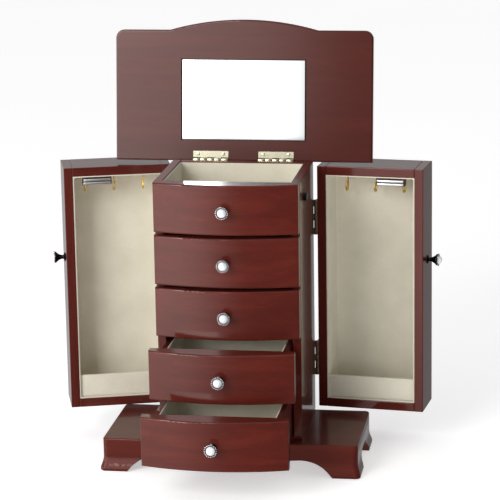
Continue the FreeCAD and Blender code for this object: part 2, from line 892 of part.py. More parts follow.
def wing_lining(name, sign, y, z, panel):
    """The fabric-covered liner: five walls, open to the cabinet's side."""
    made = new_body(f"{name}_lining")
    skin = d.lining_thick
    mouth = wing_near + d.wing_lining_setback
    outside = rectangle(sketch_on(made, "YZ_Plane", mouth * sign), y, z)
    pad(made, outside, panel - mouth, backwards=sign < 0)
    inside = sketch_on(made, "YZ_Plane", mouth * sign)
    rectangle(inside, (y[0] + skin, y[1] - skin), (z[0] + skin, z[1] - skin))
    doc.recompute()
    pocket(made, inside, panel - mouth - skin, backwards=sign > 0)
    node(made, f"{name}_lining", name)


def wing_hooks(name, sign):
    middle = wing_rear_y - wing_width / 2 - d.hook_shift
    x = (wing_near + d.hook_depth) * sign
    turn = Rotation(Z_AXIS, 180 if sign < 0 else 0)
    places = [middle + d.hook_pitch * step for step in (-1, 0, 1)]
    group(f"{name}_hooks", name, [link(hook_master, x=x, y=y, z=ceiling_z, turn=turn) for y in places])


def hook():
    """A cup hook that hangs from the ground plane, its mouth towards -X."""
    made = new_body("cup_hook")
    sweep = math.radians(d.hook_sweep.value)
    ring = d.hook_ring
    path = sketch_on(made, "XZ_Plane")
    down = path.addGeometry(Part.LineSegment(Vector(0, 0, 0), Vector(0, -d.hook_shank.value, 0)))
    centre = Vector(-ring.value, -d.hook_shank.value, 0)
    around = path.addGeometry(Part.ArcOfCircle(Part.Circle(centre, Z_AXIS, ring.value), -sweep, 0))
    path.addConstraint(Sketcher.Constraint("Coincident", down, 1, -1, 1))
    path.addConstraint(Sketcher.Constraint("Vertical", down))
    path.addConstraint(Sketcher.Constraint("Tangent", down, 2, around, 2))
    hold(path, "DistanceY", (down, 2, down, 1), d.hook_shank)
    hold(path, "Radius", (around,), ring)
    number = path.addConstraint(Sketcher.Constraint("Angle", around, sweep))
    path.setExpression(f"Constraints[{number}]", f"{d.hook_sweep.text} * 1 deg")
    section = sketch_on(made, "XY_Plane")
    circle(section, 0, 0, d.hook_wire / 2)
    pipe = made.newObject("PartDesign::AdditivePipe", "Bent")
    pipe.Profile = section
    pipe.Spine = path
    collar = sketch_on(made, "XY_Plane")
    circle(collar, 0, 0, d.hook_collar)
    pad(made, collar, d.hook_collar_thick, backwards=True)
    tip = primitive(
        "Part::Sphere", "hook_tip", {"Radius": d.hook_tip},
        x=ring * (math.cos(sweep) - 1), z=-d.hook_shank - ring * math.sin(sweep),
    )
    return fuse("hook", [made, tip])


def wing_catch(name, sign):
    """A magnetic catch under the wing's ceiling: a housing and two pole plates that face the cabinet."""
    low = ceiling_z - d.catch_tall
    plate_back = wing_near + d.catch_sink + d.catch_plate_thick
    half = d.catch_length / 2
    length = (catch_y - half, catch_y + half)
    board(
        f"{name}_catch_housing", name, (plate_back * sign, (wing_near + d.catch_deep) * sign),
        length, (low, ceiling_z),
    )
    plates = []
    bottom = low
    for _ in range(2):
        top = bottom + d.catch_plate_tall
        plates.append(
            slab(
                f"{name}_pole_plate", ((wing_near + d.catch_sink) * sign, plate_back * sign),
                (length[0] + 1, length[1] - 1), (bottom, top),
            )
        )
        bottom = top + d.catch_plate_gap
    group(f"{name}_catch_plates", name, plates)


def strikes():
    """The steel discs on the cabinet's sides that the catches hold."""
    plates_middle = ceiling_z - d.catch_tall + d.catch_plate_tall + d.catch_plate_gap / 2
    where = {"y": wing_hinge_y + catch_y, "z": plates_middle}
    disc = {"Radius": d.strike_radius, "Height": wing_gap + d.catch_sink - d.catch_air}
    discs = []
    for sign in (-1, 1):
        turn = Rotation(Y_AXIS, 90 * sign)
        discs.append(primitive("Part::Cylinder", "strike", disc, x=half_width * sign, turn=turn, **where))
    group("strike_discs", "cabinet", discs)


# ---------------------------------------------------------------- the whole chest
knob_setting = fuse("knob_body", [knob_metal(), knob_rim()])
knob_stone_master = knob_stone()
hook_master = hook()
fixed_leaf = hinge_leaf("fixed_leaf", (0, 2, 4))
moving_leaf = hinge_leaf("moving_leaf", (1, 3))
screw_master = hinge_screw()
base_top()
aprons()
carcass()
node(bow_front("false_front", 1, front_y), "false_front", "cabinet")
front_knob("false_front_knob", "cabinet", 1)
strikes()
for number in DRAWERS:
    drawer(number)
lid()
wing("left", -1)
wing("right", 1)
hinges()
doc.recompute()

for thing in doc.Objects:
    if "Invalid" in thing.State or "Error" in thing.State:
        raise RuntimeError(f"{thing.Name} ({thing.Label}) failed: {thing.State}")
os.makedirs("parts", exist_ok=True)
for thing in nodes:
    shape = thing.Shape
    if shape.isNull() or not shape.isValid() or not shape.Solids:
        raise RuntimeError(f"{thing.Label} has no valid solid")
    shape.exportStep(os.path.join("parts", f"{thing.Label}.step"))
print(len(nodes), "nodes written")
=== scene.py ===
"""Looks of the bow-front jewellery chest: lacquered boards, jewelled knobs, fabric linings, brass fittings.

Metres, in the chest's own frame: +Z is up and the fronts face -Y. What belongs to the lid or a wing is
modelled where that body is when it is closed, square to the axes, and is then carried to its place at rest.
"""
import json
import math

import bmesh
import bpy
from bpy.props import FloatProperty, IntProperty, PointerProperty, StringProperty
from mathutils import Matrix, Vector


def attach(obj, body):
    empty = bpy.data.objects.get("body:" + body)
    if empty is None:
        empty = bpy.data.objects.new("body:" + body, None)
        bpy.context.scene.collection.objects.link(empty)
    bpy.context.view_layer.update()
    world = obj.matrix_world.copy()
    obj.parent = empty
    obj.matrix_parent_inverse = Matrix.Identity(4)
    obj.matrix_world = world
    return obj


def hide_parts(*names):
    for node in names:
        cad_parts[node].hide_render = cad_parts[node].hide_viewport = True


bl_info = {
    "name": "Jewellery chest",
    "version": (1, 0, 0),
    "blender": (4, 5, 0),
    "location": "3D View > Sidebar > Chest",
    "description": "Models and finishes the visible pieces of a bow-front jewellery chest",
    "category": "Object",
}

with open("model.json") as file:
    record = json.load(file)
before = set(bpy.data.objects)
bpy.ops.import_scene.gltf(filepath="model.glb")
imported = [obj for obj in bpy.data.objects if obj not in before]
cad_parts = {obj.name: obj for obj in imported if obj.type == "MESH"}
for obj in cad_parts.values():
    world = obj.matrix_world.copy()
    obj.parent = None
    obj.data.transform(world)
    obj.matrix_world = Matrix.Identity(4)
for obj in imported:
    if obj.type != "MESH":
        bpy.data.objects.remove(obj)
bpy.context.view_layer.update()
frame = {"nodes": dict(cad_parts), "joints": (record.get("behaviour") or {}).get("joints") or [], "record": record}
MM = 0.001
BODY = {node: body for body, nodes in frame["record"]["behaviour"]["bodies"].items() for node in nodes}
WINGS = ("left_wing", "right_wing")
DRAWERS = ("drawer_2", "drawer_3", "drawer_4", "drawer_5")
CLOSED_END = {"lid": 1, "left_wing": 0, "right_wing": 0}


# ---------------------------------------------------------------- sizes and colours
def length(label, words, millimetres):
    """A length that a user may change, in metres."""
    return FloatProperty(name=label, description=words, default=millimetres * MM, min=0, unit="LENGTH")


def colour(label, words, code):
    return StringProperty(name=label, description=words, default=code)


class KnobSizes(bpy.types.PropertyGroup):
    flange_radius: length("Flange radius", "The foot that sits on the wood", 4.6)
    neck_radius: length("Neck radius", "The thinnest part of the stem", 2.1)
    cup_radius: length("Cup radius", "The cup that holds the stone", 6.1)
    cup_height: length("Cup height", "From the wood to the cup's rim", 12)
    cup_depth: length("Cup depth", "The straight wall of the cup", 2.2)
    bead_radius: length("Bead radius", "One of the beads round the cup", 0.7)
    stone_radius: length("Stone radius", "The stone at its girdle", 4.8)
    stone_rise: length("Stone rise", "The stone above the cup", 3.4)
    beads: IntProperty(name="Beads", description="How many beads stand round the cup", default=20)
    facets: IntProperty(name="Facets", description="Facets in each ring of the stone", default=10)


class FittingSizes(bpy.types.PropertyGroup):
    hinge_length: length("Hinge length", "A butt hinge along its pin", 38)
    leaf_width: length("Leaf width", "A hinge leaf out from its knuckles", 6.8)
    leaf_thick: length("Leaf thickness", "The brass of a leaf", 0.9)
    leaf_gap: length("Leaf gap", "Between the two closed leaves", 0.2)
    leaf_corner: length("Leaf corner", "The rounding of a leaf's outer corners", 0.7)
    leaf_edge: length("Leaf edge", "The broken edge round a leaf", 0.12)
    knuckle_gap: length("Knuckle gap", "Between two knuckles", 0.2)
    knuckle_edge: length("Knuckle edge", "The rounding of a knuckle's ends", 0.2)
    barrel_radius: length("Barrel radius", "A knuckle's outside", 1.9)
    barrel_gap: length("Barrel gap", "From a knuckle to the wood", 0.3)
    pin_hole: length("Pin hole radius", "The hole in a knuckle", 0.85)
    screw_radius: length("Screw radius", "A countersunk head", 2)
    screw_inset: length("Screw inset", "From a leaf's inner edge to its screws", 3.6)
    screw_spacing: length("Screw spacing", "Between a leaf's two screws", 27)
    plate_tall: length("Pole plate height", "One of a catch's two steel plates", 2.7)
    plate_gap: length("Pole plate gap", "Between the two steel plates", 0.8)
    plate_edge: length("Pole plate edge", "The rounding of a pole plate's edges", 0.8)
    ear_length: length("Ear length", "The moulded ear at each end of a catch", 3)
    housing_wall: length("Housing wall", "What stands round the housing's recess", 0.4)
    housing_recess: length("Housing recess", "How deep the housing's face is sunk", 1.2)
    housing_edge: length("Housing edge", "The rounding of the housing's edges", 0.35)


class LiningSizes(bpy.types.PropertyGroup):
    wall: length("Wall", "The fabric and its card", 1.2)
    corner: length("Corner", "How far the fabric rounds the corners inside", 1.6)
    hem: length("Hem", "The folded edge of a pocket", 3.2)
    slack: length("Slack", "How far the fabric stands off its card in places", 0.16)
    patch: length("Patch", "How wide the uneven patches of a lining are", 20)
    pocket_patch: length("Pocket patch", "How wide the uneven patches of a pocket are", 12)
    crease: length("Crease", "The rounding of the line that the hem makes", 0.5)
    pocket_edge: length("Pocket edge", "The rounding of a pocket's edges", 0.9)


class Finishes(bpy.types.PropertyGroup):
    wood_dark: colour("Stain, dark", "The stain where it gathers in the pores", "#46160f")
    wood_mid: colour("Stain, middle", "Most of the wood", "#4f1b15")
    wood_light: colour("Stain, light", "The paler bands of the figure", "#5a2018")
    # Painted shade: the deep-stain colours are the lid's own mahogany made darker where the lid gets less light.
    painted_shade_dark: colour("Deep stain, dark", "The darkest bands of a deeply stained board", "#36110b")
    painted_shade_mid: colour("Deep stain, middle", "Most of a deeply stained board", "#40130e")
    painted_shade_light: colour("Deep stain, light", "The palest bands of a deeply stained board", "#491813")
    # Painted light: the thin-stain colours are the fronts' own mahogany made paler where the fronts get more
    # light.
    painted_light_mid: colour("Thin stain, middle", "Most of a lightly stained board", "#511b14")
    painted_light_pale: colour("Thin stain, light", "The palest bands of a lightly stained board", "#5e2218")
    lacquer_tint: colour("Lacquer tint", "What the stained wood under the lacquer reflects", "#ffb09c")
    lining: colour("Lining", "The brushed fabric", "#dfd9c8")
    lining_shade: colour("Lining, shade", "The nap where it lies the other way", "#cac4b1")
    brass: colour("Brass", "Hinges", "#bdb7a0")
    gilt: colour("Gilt", "Hooks", "#f3d684")
    setting: colour("Setting", "The knobs' darkened settings and the strike discs", "#38353a")
    silver: colour("Silver", "The knobs' beads", "#f0f0f2")
    stone: colour("Stone", "The knobs' stones", "#f3f3f6")
    steel: colour("Steel", "Catches", "#eeeeef")
    plastic: colour("Plastic", "The catches' housings", "#3a2a18")
    glass: colour("Mirror", "Silvered glass", "#f2f5f5")
    floor: colour("Floor", "The plain floor", "#f1f1f1")


class StageSizes(bpy.types.PropertyGroup):
    azimuth: FloatProperty(name="Azimuth", description="Camera round to the right", default=8.835)
    pitch: FloatProperty(name="Pitch", description="Camera looking down", default=13.365)
    roll: FloatProperty(name="Roll", description="Camera turned about its own axis", default=0.938)
    distance: length("Distance", "From the camera to what it looks at", 2442.7)
    lens: FloatProperty(name="Lens", description="Focal length on a 36 mm sensor", default=168.09)
    aim_x: FloatProperty(name="Aim X", description="Sideways place the camera looks at", default=0.0146)
    aim_z: FloatProperty(name="Aim Z", description="Height the camera looks at", default=0.2236)


GROUPS = {
    "chest_knobs": KnobSizes,
    "chest_fittings": FittingSizes,
    "chest_linings": LiningSizes,
    "chest_finishes": Finishes,
    "chest_stage": StageSizes,
}


# ---------------------------------------------------------------- where things are
def rest_turn(body):
    """What carries a body from where it is closed to where it stands at rest."""
    for joint in frame["joints"]:
        if joint["child"] == body and body in CLOSED_END:
            angle = -math.radians(joint["range_deg"][CLOSED_END[body]])
            pin = Matrix.Translation(joint["pos_m"])
            return pin @ Matrix.Rotation(angle, 4, Vector(joint["axis"])) @ pin.inverted()
    return Matrix()


def pin_of(body):
    """A point on the hinge line of a lid or wing."""
    return next(Vector(joint["pos_m"]) for joint in frame["joints"] if joint["child"] == body)


def closed_box(node):
    """The lowest and highest corners of a CAD node where its body is closed."""
    back = rest_turn(BODY[node]).inverted()
    places = [back @ vertex.co for vertex in frame["nodes"][node].data.vertices]
    return Vector(map(min, zip(*places))), Vector(map(max, zip(*places)))


# ---------------------------------------------------------------- modelling
def block(low, high):
    """Start a piece as a block between two corners."""
    bpy.ops.object.select_all(action="DESELECT")
    bpy.ops.mesh.primitive_cube_add(size=1, location=(low + high) / 2)
    bpy.context.object.scale = high - low
    bpy.ops.object.transform_apply(location=True, rotation=True, scale=True)
    return bpy.context.object


def edit(kind):
    """Open the piece in edit mode, working on its faces, edges or vertices."""
    bpy.ops.object.mode_set(mode="EDIT")
    bpy.ops.mesh.select_mode(type=kind)


def leave():
    bpy.ops.object.mode_set(mode="OBJECT")
    return bpy.context.object


def pick(kind, test):
    """Select only the faces or edges that pass a test."""
    bpy.ops.mesh.select_all(action="DESELECT")
    mesh = bmesh.from_edit_mesh(bpy.context.object.data)
    for part in getattr(mesh, kind):
        part.select_set(test(part))
    bmesh.update_edit_mesh(bpy.context.object.data)


def run_of(edge):
    """An edge's direction."""
    return (edge.verts[1].co - edge.verts[0].co).normalized()


def soften_all(radius, segments=2, sharper=30):
    """Round every sharp edge of the open piece."""
    bpy.ops.mesh.select_mode(type="EDGE")
    bpy.ops.mesh.select_all(action="DESELECT")
    bpy.ops.mesh.edges_select_sharp(sharpness=math.radians(sharper))
    bpy.ops.mesh.bevel(offset=radius, segments=segments, affect="EDGES")


def lathe(profile, sides, twist=0.0):
    """Turn a piece about Z from a disc that is extruded ring by ring; twist turns each ring in degrees."""
    bpy.ops.object.select_all(action="DESELECT")
    radius, height = profile[0]
    bpy.ops.mesh.primitive_circle_add(
        vertices=sides, radius=radius, fill_type="NGON", location=(0, 0, height)
    )
    bpy.ops.object.transform_apply(location=True, rotation=True, scale=True)
    edit("FACE")
    bpy.ops.mesh.select_all(action="SELECT")
    for next_radius, next_height in profile[1:]:
        rise = {"value": (0, 0, next_height - height)}
        bpy.ops.mesh.extrude_region_move(TRANSFORM_OT_translate=rise)
        grow = next_radius / radius
        bpy.ops.transform.resize(value=(grow, grow, 1), center_override=(0, 0, 0))
        if twist:
            bpy.ops.transform.rotate(
                value=math.radians(twist), orient_axis="Z", center_override=(0, 0, 0)
            )
        radius, height = next_radius, next_height
    bpy.ops.mesh.select_all(action="SELECT")
    bpy.ops.mesh.normals_make_consistent(inside=False)
    return leave()


def joined(parts):
    """Make one piece of several."""
    bpy.ops.object.select_all(action="DESELECT")
    for part in parts:
        part.select_set(True)
    bpy.context.view_layer.objects.active = parts[0]
    bpy.ops.object.join()
    return parts[0]


def smoothed(made, angle=35):
    bpy.ops.object.select_all(action="DESELECT")
    made.select_set(True)
    bpy.context.view_layer.objects.active = made
    bpy.ops.object.shade_smooth_by_angle(angle=math.radians(angle))
    return made


def copy_of(master, place):
    """Another of a master piece, with its own mesh, carried to its place."""
    made = master.copy()
    made.data = master.data.copy()
    made.data.transform(place)
    bpy.context.collection.objects.link(made)
    return made


def drop(*masters):
    for master in masters:
        bpy.data.objects.remove(master)


FABRIC_CUTS = 3


def wrinkled(made, name, depth, cell):
    """Give fabric the slight unevenness it has over its card, in patches as wide as cell."""
    bpy.ops.object.select_all(action="DESELECT")
    made.select_set(True)
    bpy.context.view_layer.objects.active = made
    finer = made.modifiers.new("Finer", "SUBSURF")
    finer.subdivision_type = "SIMPLE"
    finer.levels = finer.render_levels = FABRIC_CUTS
    bpy.ops.object.modifier_apply(modifier="Finer")
    clouds = bpy.data.textures.new(f"{name}_folds", "CLOUDS")
    clouds.noise_scale = cell
    uneven = made.modifiers.new("Uneven", "DISPLACE")
    uneven.texture = clouds
    uneven.strength = depth
    uneven.mid_level = 0.5
    bpy.ops.object.modifier_apply(modifier="Uneven")
    return made


def settle(made, name, body, finish, replaced=()):
    """Name a finished piece, give it its material and let it ride on its body."""
    made.name = made.data.name = name
    made.data.materials.clear()
    made.data.materials.append(finish)
    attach(made, body)
    if replaced:
        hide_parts(*replaced)
    return made


# ---------------------------------------------------------------- materials
def linear(code):
    """An sRGB hex colour as linear RGBA."""
    parts = [int(code[place:place + 2], 16) / 255 for place in (1, 3, 5)]
    return (*(p / 12.92 if p <= 0.04045 else ((p + 0.055) / 1.055) ** 2.4 for p in parts), 1.0)


def add(tree, kind, settings=None, **links):
    """Add a node. settings are its own properties, or the values of its inputs; links feed its inputs."""
    made = tree.nodes.new(kind)
    for name, value in (settings or {}).items():
        if hasattr(made, name):
            setattr(made, name, value)
        else:
            made.inputs[name].default_value = value
    for name, source in links.items():
        tree.links.new(source, made.inputs[name.replace("_", " ")])
    return made


def blank(name, **shader):
    """A new material with one shader, whose uniform numbers are set on its own sockets."""
    made = bpy.data.materials.new(name)
    made.use_nodes = True
    principled = made.node_tree.nodes["Principled BSDF"]
    for socket, value in shader.items():
        principled.inputs[socket.replace("_", " ")].default_value = value
    return made, made.node_tree, principled


def banded(tree, source, colours):
    """A colour ramp through evenly spaced colours."""
    ramp = add(tree, "ShaderNodeValToRGB", Fac=source)
    stops = ramp.color_ramp.elements
    while len(stops) < len(colours):
        stops.new(0.5)
    for number, code in enumerate(colours):
        stops[number].position = 0.25 + 0.5 * number / (len(colours) - 1)
        stops[number].color = linear(code)
    return ramp.outputs["Color"]


def roughened(tree, principled, height, depth):
    bump = add(tree, "ShaderNodeBump", {"Strength": 1.0, "Distance": depth}, Height=height)
    tree.links.new(bump.outputs["Normal"], principled.inputs["Normal"])


def lacquered_mahogany(grain, turn=0.0, stain="", gloss=0.85):
    """Red mahogany stain under clear satin lacquer: long bands, fine pores and a clean wet-looking coat.

    grain is the axis that it runs along; turn is how far the board's own axes are turned about Z; stain is
    "deep" for painted shade, the same mahogany made darker where the board gets less light, and "thin" for
    painted light, the same mahogany made paler where it gets more; gloss is how much lacquer the board has.
    """
    finish = bpy.context.scene.chest_finishes
    stains_and_painted_light = {
        "": (finish.wood_dark, finish.wood_mid, finish.wood_light),
        # deep is painted shade, the same mahogany made darker for the lid's lesser light; thin is painted light,
        # the same mahogany made paler for the fronts' greater light.
        "deep": (finish.painted_shade_dark, finish.painted_shade_mid, finish.painted_shade_light),
        "thin": (finish.wood_dark, finish.painted_light_mid, finish.painted_light_pale),
    }
    made, tree, principled = blank(
        f"lacquered_mahogany_{grain}{round(turn):+d}{stain}_{round(gloss * 100)}",
        Roughness=0.34, IOR=1.5, Specular_IOR_Level=0.2, Specular_Tint=linear(finish.lacquer_tint),
        Coat_Weight=gloss, Coat_Roughness=0.09, Coat_IOR=1.5,
    )
    place = add(tree, "ShaderNodeTexCoord").outputs["Object"]
    square = add(tree, "ShaderNodeMapping", {"Rotation": (0, 0, math.radians(-turn))}, Vector=place)
    # Bands are about 11 mm apart and 150 mm long. Real pores are 0.2 mm by 4 mm: they are drawn
    # 1.3 mm apart and 16 mm long so that they still show from across a table.
    band = [1 / 0.15 if axis == grain else 1 / 0.011 for axis in "xyz"]
    pore = [1 / 0.016 if axis == grain else 1 / 0.0013 for axis in "xyz"]
    banding = add(tree, "ShaderNodeMapping", {"Scale": band}, Vector=square.outputs["Vector"])
    poring = add(tree, "ShaderNodeMapping", {"Scale": pore}, Vector=square.outputs["Vector"])
    wavy = {"Scale": 1.0, "Detail": 3.0, "Distortion": 0.6}
    figure = add(tree, "ShaderNodeTexNoise", wavy, Vector=banding.outputs["Vector"])
    pores = add(tree, "ShaderNodeTexNoise", {"Scale": 1.0, "Detail": 2.0}, Vector=poring.outputs["Vector"])
    blend = add(tree, "ShaderNodeMix", {"Factor": 0.32}, A=figure.outputs["Fac"], B=pores.outputs["Fac"])
    shade = banded(tree, blend.outputs["Result"], stains_and_painted_light[stain])
    tree.links.new(shade, principled.inputs["Base Color"])
    roughened(tree, principled, pores.outputs["Fac"], 0.01 * MM)
    return made


def brushed_lining():
    """Brushed knit fabric on card: matt, with a short nap that lies in soft patches."""
    finish = bpy.context.scene.chest_finishes
    made, tree, principled = blank(
        "brushed_lining_fabric", Roughness=0.95, IOR=1.45, Sheen_Weight=0.25, Sheen_Roughness=0.5
    )
    place = add(tree, "ShaderNodeTexCoord").outputs["Object"]
    patches = add(tree, "ShaderNodeTexNoise", {"Scale": 1 / 0.03, "Detail": 2.0}, Vector=place)
    # The nap's fibres are under 0.3 mm; they are drawn 0.9 mm apart.
    nap = add(tree, "ShaderNodeTexNoise", {"Scale": 1 / 0.0009, "Detail": 2.0}, Vector=place)
    blend = add(tree, "ShaderNodeMix", {"Factor": 0.45}, A=patches.outputs["Fac"], B=nap.outputs["Fac"])
    shade = banded(tree, blend.outputs["Result"], (finish.lining_shade, finish.lining))
    tree.links.new(shade, principled.inputs["Base Color"])
    roughened(tree, principled, nap.outputs["Fac"], 0.12 * MM)
    return made


def worn_metal(name, code, roughness, mark):
    """Plated or polished metal with faint rubbing marks of the given width in metres."""
    made, tree, principled = blank(name, Metallic=1.0, Base_Color=linear(code))
    place = add(tree, "ShaderNodeTexCoord").outputs["Object"]
    rub = add(tree, "ShaderNodeTexNoise", {"Scale": 1 / mark, "Detail": 3.0}, Vector=place)
    limits = {"To Min": roughness * 0.7, "To Max": roughness * 1.4}
    spread = add(tree, "ShaderNodeMapRange", limits, Value=rub.outputs["Fac"])
    tree.links.new(spread.outputs["Result"], principled.inputs["Roughness"])
    roughened(tree, principled, rub.outputs["Fac"], 0.004 * MM)
    return made


def cut_crystal():
    """Pearly cut crystal: bright, hard and clean, with a faint cloudiness inside."""
    made, tree, principled = blank(
        "cut_crystal", Roughness=0.06, IOR=1.6, Coat_Weight=0.4, Coat_Roughness=0.03,
    )
    place = add(tree, "ShaderNodeTexCoord").outputs["Object"]
    cloud = add(tree, "ShaderNodeTexNoise", {"Scale": 1 / 0.003, "Detail": 1.0}, Vector=place)
    code = bpy.context.scene.chest_finishes.stone
    tree.links.new(banded(tree, cloud.outputs["Fac"], ("#d8d9de", code)), principled.inputs["Base Color"])
    return made


def moulded_plastic():
    """Moulded ABS: even, slightly grained and half matt."""
    made, tree, principled = blank(
        "moulded_abs", Base_Color=linear(bpy.context.scene.chest_finishes.plastic), Roughness=0.45, IOR=1.5
    )
    place = add(tree, "ShaderNodeTexCoord").outputs["Object"]
    grain = add(tree, "ShaderNodeTexNoise", {"Scale": 1 / 0.0008, "Detail": 1.0}, Vector=place)
    roughened(tree, principled, grain.outputs["Fac"], 0.02 * MM)
    return made


def silvered_glass():
    """Mirror glass: a clean bright reflection with the very faint waviness of thin float glass."""
    code = bpy.context.scene.chest_finishes.glass
    made, tree, principled = blank("silvered_glass", Metallic=1.0, Base_Color=linear(code), Roughness=0.02)
    place = add(tree, "ShaderNodeTexCoord").outputs["Object"]
    wave = add(tree, "ShaderNodeTexNoise", {"Scale": 1 / 0.06}, Vector=place)
    roughened(tree, principled, wave.outputs["Fac"], 0.004 * MM)
    return made


def studio_floor():
    """Matt white paint, lit until it is nearly white."""
    made, tree, principled = blank(
        "painted_studio_floor", Roughness=0.8, Emission_Color=(1, 1, 1, 1), Emission_Strength=0.49
    )
    place = add(tree, "ShaderNodeTexCoord").outputs["Object"]
    mottle = add(tree, "ShaderNodeTexNoise", {"Scale": 1 / 0.4}, Vector=place)
    code = bpy.context.scene.chest_finishes.floor
    tree.links.new(banded(tree, mottle.outputs["Fac"], ("#eeeeee", code)), principled.inputs["Base Color"])
    return made


# ---------------------------------------------------------------- the wood
ACROSS = (
    "base_top_board", "base_front_apron", "base_back_apron", "cabinet_rear_rail", "shelves",
    *(f"{drawer}_box" for drawer in DRAWERS),
)
FRONTS = ("false_front", *(f"{drawer}_front" for drawer in DRAWERS))
THIN_LACQUER = 0.35
DEEP = ("base_left_apron", "base_right_apron")
UPRIGHT = (
    "cabinet_side_left", "cabinet_side_right", "cabinet_back",
    *(f"{wing}_{part}" for wing in WINGS for part in ("outer_board", "hinge_board", "back_panel")),
)


def finish_nodes(names, finish):
    """Give CAD nodes that are shown as they are their material."""
    for name in names:
        slots = frame["nodes"][name].data.materials
        slots.clear()
        slots.append(finish)


class CHEST_OT_boards(bpy.types.Operator):
    """Finish every board of the base, the cabinet, the lid, the wings and the drawers"""
    bl_idname = "chest.boards"
    bl_label = "Boards"

    def execute(self, context):
        for names, grain in ((ACROSS, "x"), (DEEP, "y"), (UPRIGHT, "z")):
            finish_nodes(names, lacquered_mahogany(grain))
        # The lid's deep stain is painted shade: the same mahogany, darker for the lesser light on the lid.
        finish_nodes(("lid_board",), lacquered_mahogany("x", stain="deep"))
        # The fronts' thin stain is painted light: the same mahogany, paler for the greater light on the fronts.
        finish_nodes(FRONTS, lacquered_mahogany("x", stain="thin"))
        finish_nodes(("base_top_board", "base_front_apron"), lacquered_mahogany("x", gloss=THIN_LACQUER))
        for wing in WINGS:
            turn = math.degrees(rest_turn(wing).to_euler().z)
            finish_nodes((f"{wing}_top_board", f"{wing}_bottom_board"), lacquered_mahogany("y", turn))
        return {"FINISHED"}


# ---------------------------------------------------------------- knobs
def knob_setting():
    """The turned setting: a stepped flange, a flared stem and the cup that the stone is set in."""
    size = bpy.context.scene.chest_knobs
    flange, neck, cup = size.flange_radius, size.neck_radius, size.cup_radius
    low, top = 2.2 * MM, size.cup_height
    under, seat = top - size.cup_depth, top - 1 * MM
    rim = top - 0.6 * MM
    flare = [
        (neck + (cup - neck) * (step / 8) ** 2.2, low + (under - low) * step / 8) for step in range(1, 9)
    ]
    profile = [
        (flange, 0), (flange, 0.8 * MM), (flange - 0.4 * MM, 1.2 * MM), (neck + 0.9 * MM, 1.4 * MM),
        (neck + 0.3 * MM, 1.7 * MM), (neck, low), *flare, (cup, rim - 0.3 * MM), (cup - 0.2 * MM, rim),
        (size.stone_radius + 0.1 * MM, rim), (size.stone_radius, seat), (0.5 * MM, seat),
    ]
    return smoothed(lathe(profile, 40), 40)


def knob_beads():
    """The bright beads that stand round the cup's rim."""
    size = bpy.context.scene.chest_knobs
    cup, top = size.cup_radius, size.cup_height
    parts = []
    for number in range(size.beads):
        angle = math.tau * number / size.beads
        around = Vector((math.cos(angle), math.sin(angle), 0)) * cup
        bpy.ops.object.select_all(action="DESELECT")
        bpy.ops.mesh.primitive_ico_sphere_add(
            subdivisions=2, radius=size.bead_radius, location=around + Vector((0, 0, top - 0.2 * MM))
        )
        bpy.ops.object.transform_apply(location=True, rotation=True, scale=True)
        parts.append(bpy.context.object)
    return smoothed(joined(parts), 40)


def knob_stone():
    """The cut stone: rings of facets, each turned half a facet on the one below."""
    size = bpy.context.scene.chest_knobs
    radius, rise, low = size.stone_radius * 0.98, size.stone_rise, size.cup_height - 0.9 * MM
    top = size.cup_height
    profile = [
        (radius, low), (radius, top + 0.2 * MM), (radius * 0.84, top + rise * 0.5),
        (radius * 0.58, top + rise * 0.84), (radius * 0.3, top + rise),
    ]
    made = lathe(profile, size.facets, twist=180 / size.facets)
    edit("FACE")
    bpy.ops.mesh.select_all(action="SELECT")
    bpy.ops.mesh.quads_convert_to_tris(quad_method="SHORTEST_DIAGONAL", ngon_method="BEAUTY")
    return leave()


class CHEST_OT_knobs(bpy.types.Operator):
    """Model a jewelled knob and set one on every front and wing"""
    bl_idname = "chest.knobs"
    bl_label = "Knobs"

    def execute(self, context):
        finish = context.scene.chest_finishes
        darkened = worn_metal("oxidised_silver", finish.setting, 0.16, 0.002)
        silver = worn_metal("plated_silver", finish.silver, 0.14, 0.002)
        crystal = cut_crystal()
        setting, beads, stone = knob_setting(), knob_beads(), knob_stone()
        towards_front = Matrix.Rotation(math.radians(90), 4, "X")
        for node in ("false_front_knob", *(f"{body}_knob" for body in (*DRAWERS, *WINGS))):
            low, high = closed_box(node)
            foot = Vector(((low.x + high.x) / 2, high.y, (low.z + high.z) / 2))
            place = rest_turn(BODY[node]) @ Matrix.Translation(foot) @ towards_front
            cup = copy_of(setting, place)
            settle(cup, f"{node}_setting", BODY[node], darkened, replaced=(node,))
            settle(copy_of(beads, place), f"{node}_beads", BODY[node], silver)
            settle(copy_of(stone, place), f"{node}_stone", BODY[node], crystal)
        drop(setting, beads, stone)
        return {"FINISHED"}


# ---------------------------------------------------------------- linings
def hollowed(low, high, mouth, wall, corner):
    """A liner that is open on the side that mouth points to, with softly rounded corners inside."""
    made = block(low, high)
    deep = abs((high - low).dot(mouth)) - wall
    edit("FACE")
    pick("faces", lambda face: face.normal.dot(mouth) > 0.9)
    bpy.ops.mesh.inset(thickness=wall)
    bpy.ops.mesh.extrude_region_move(TRANSFORM_OT_translate={"value": -mouth * deep})
    bpy.ops.mesh.select_mode(type="EDGE")
    middle = (low + high) / 2

    def inside(edge):
        spot = (edge.verts[0].co + edge.verts[1].co) / 2 - middle
        across = [
            abs(spot[axis]) < (high - low)[axis] / 2 - wall / 2
            for axis in range(3) if abs(mouth[axis]) < 0.5
        ]
        return all(across) and not (abs(run_of(edge).dot(mouth)) < 0.5 and spot.dot(mouth) > 0)

    pick("edges", inside)
    bpy.ops.mesh.bevel(offset=corner, segments=4, affect="EDGES")
    bpy.ops.mesh.select_all(action="SELECT")
    bpy.ops.mesh.normals_make_consistent(inside=False)
    return leave()


